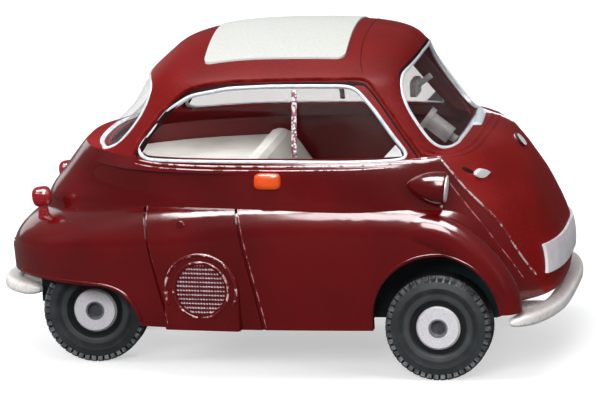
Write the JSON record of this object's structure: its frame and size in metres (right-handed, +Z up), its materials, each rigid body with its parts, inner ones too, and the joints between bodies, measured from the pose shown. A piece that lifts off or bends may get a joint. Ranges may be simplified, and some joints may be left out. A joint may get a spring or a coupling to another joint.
{
  "type": "bubble car scale model",
  "caption": "Small plastic scale model of an egg-shaped bubble car with a front door, a hollow glazed cabin, wrap-round bumpers and wheels that turn freely.",
  "frame": {"origin": "on the ground, under the middle of the model's length and width", "axes": "+X to the front of the car, +Y to the car's left, +Z up"},
  "size_m": [0.027, 0.016, 0.0155],
  "materials": {
    "body_red": "deep red, glossy",
    "cabin_red": "dusty red, satin",
    "roof_white": "off-white, matt",
    "glazing": "clear moulded plastic",
    "interior": "off-white, satin",
    "grey_fittings": "grey, satin",
    "chassis": "dark slate, satin",
    "tyre": "dark grey, matt",
    "hub_silver": "silver paint",
    "axle": "plain",
    "bumper": "silver paint",
    "lamp_silver": "bright silver paint",
    "lamp_red": "clear red",
    "lamp_orange": "orange paint",
    "plate_white": "white, blank",
    "trim_silver": "silver paint"
  },
  "bodies": {
    "car": {"badge": "trim_silver", "cabin_shell": "cabin_red", "chassis": "chassis", "door_handle": "trim_silver", "front_bumper": "bumper", "front_plate": "plate_white", "headlamp_left": "body_red", "headlamp_lens_left": "lamp_silver", "headlamp_lens_right": "lamp_silver", "headlamp_right": "body_red", "indicator_left": "lamp_orange", "indicator_right": "lamp_orange", "interior": "interior", "lock_cap": "trim_silver", "lower_body": "body_red", "mirror": "grey_fittings", "rear_bumper": "bumper", "rear_window": "glazing", "roof_panel": "roof_white", "side_window_left": "glazing", "side_window_right": "glazing", "steering_column": "grey_fittings", "tail_boss": "trim_silver", "tail_lamp_left": "lamp_red", "tail_lamp_right": "lamp_red", "vent_grille_left": "trim_silver", "vent_grille_right": "trim_silver", "windscreen": "glazing"},
    "front_wheels": {"front_axle": "axle", "hub_front_left": "hub_silver", "hub_front_right": "hub_silver", "tyre_front_left": "tyre", "tyre_front_right": "tyre"},
    "rear_wheels": {"hub_rear_left": "hub_silver", "hub_rear_right": "hub_silver", "rear_axle": "axle", "tyre_rear_left": "tyre", "tyre_rear_right": "tyre"}
  },
  "joints": [
    {"name": "front_axle_turn", "type": "hinge", "parent": "car", "child": "front_wheels", "pos_m": [0.00801, 0, 0.00244], "axis": [0, 1, 0], "continuous": true},
    {"name": "rear_axle_turn", "type": "hinge", "parent": "car", "child": "rear_wheels", "pos_m": [-0.00859, 0, 0.00244], "axis": [0, 1, 0], "continuous": true}
  ]
}
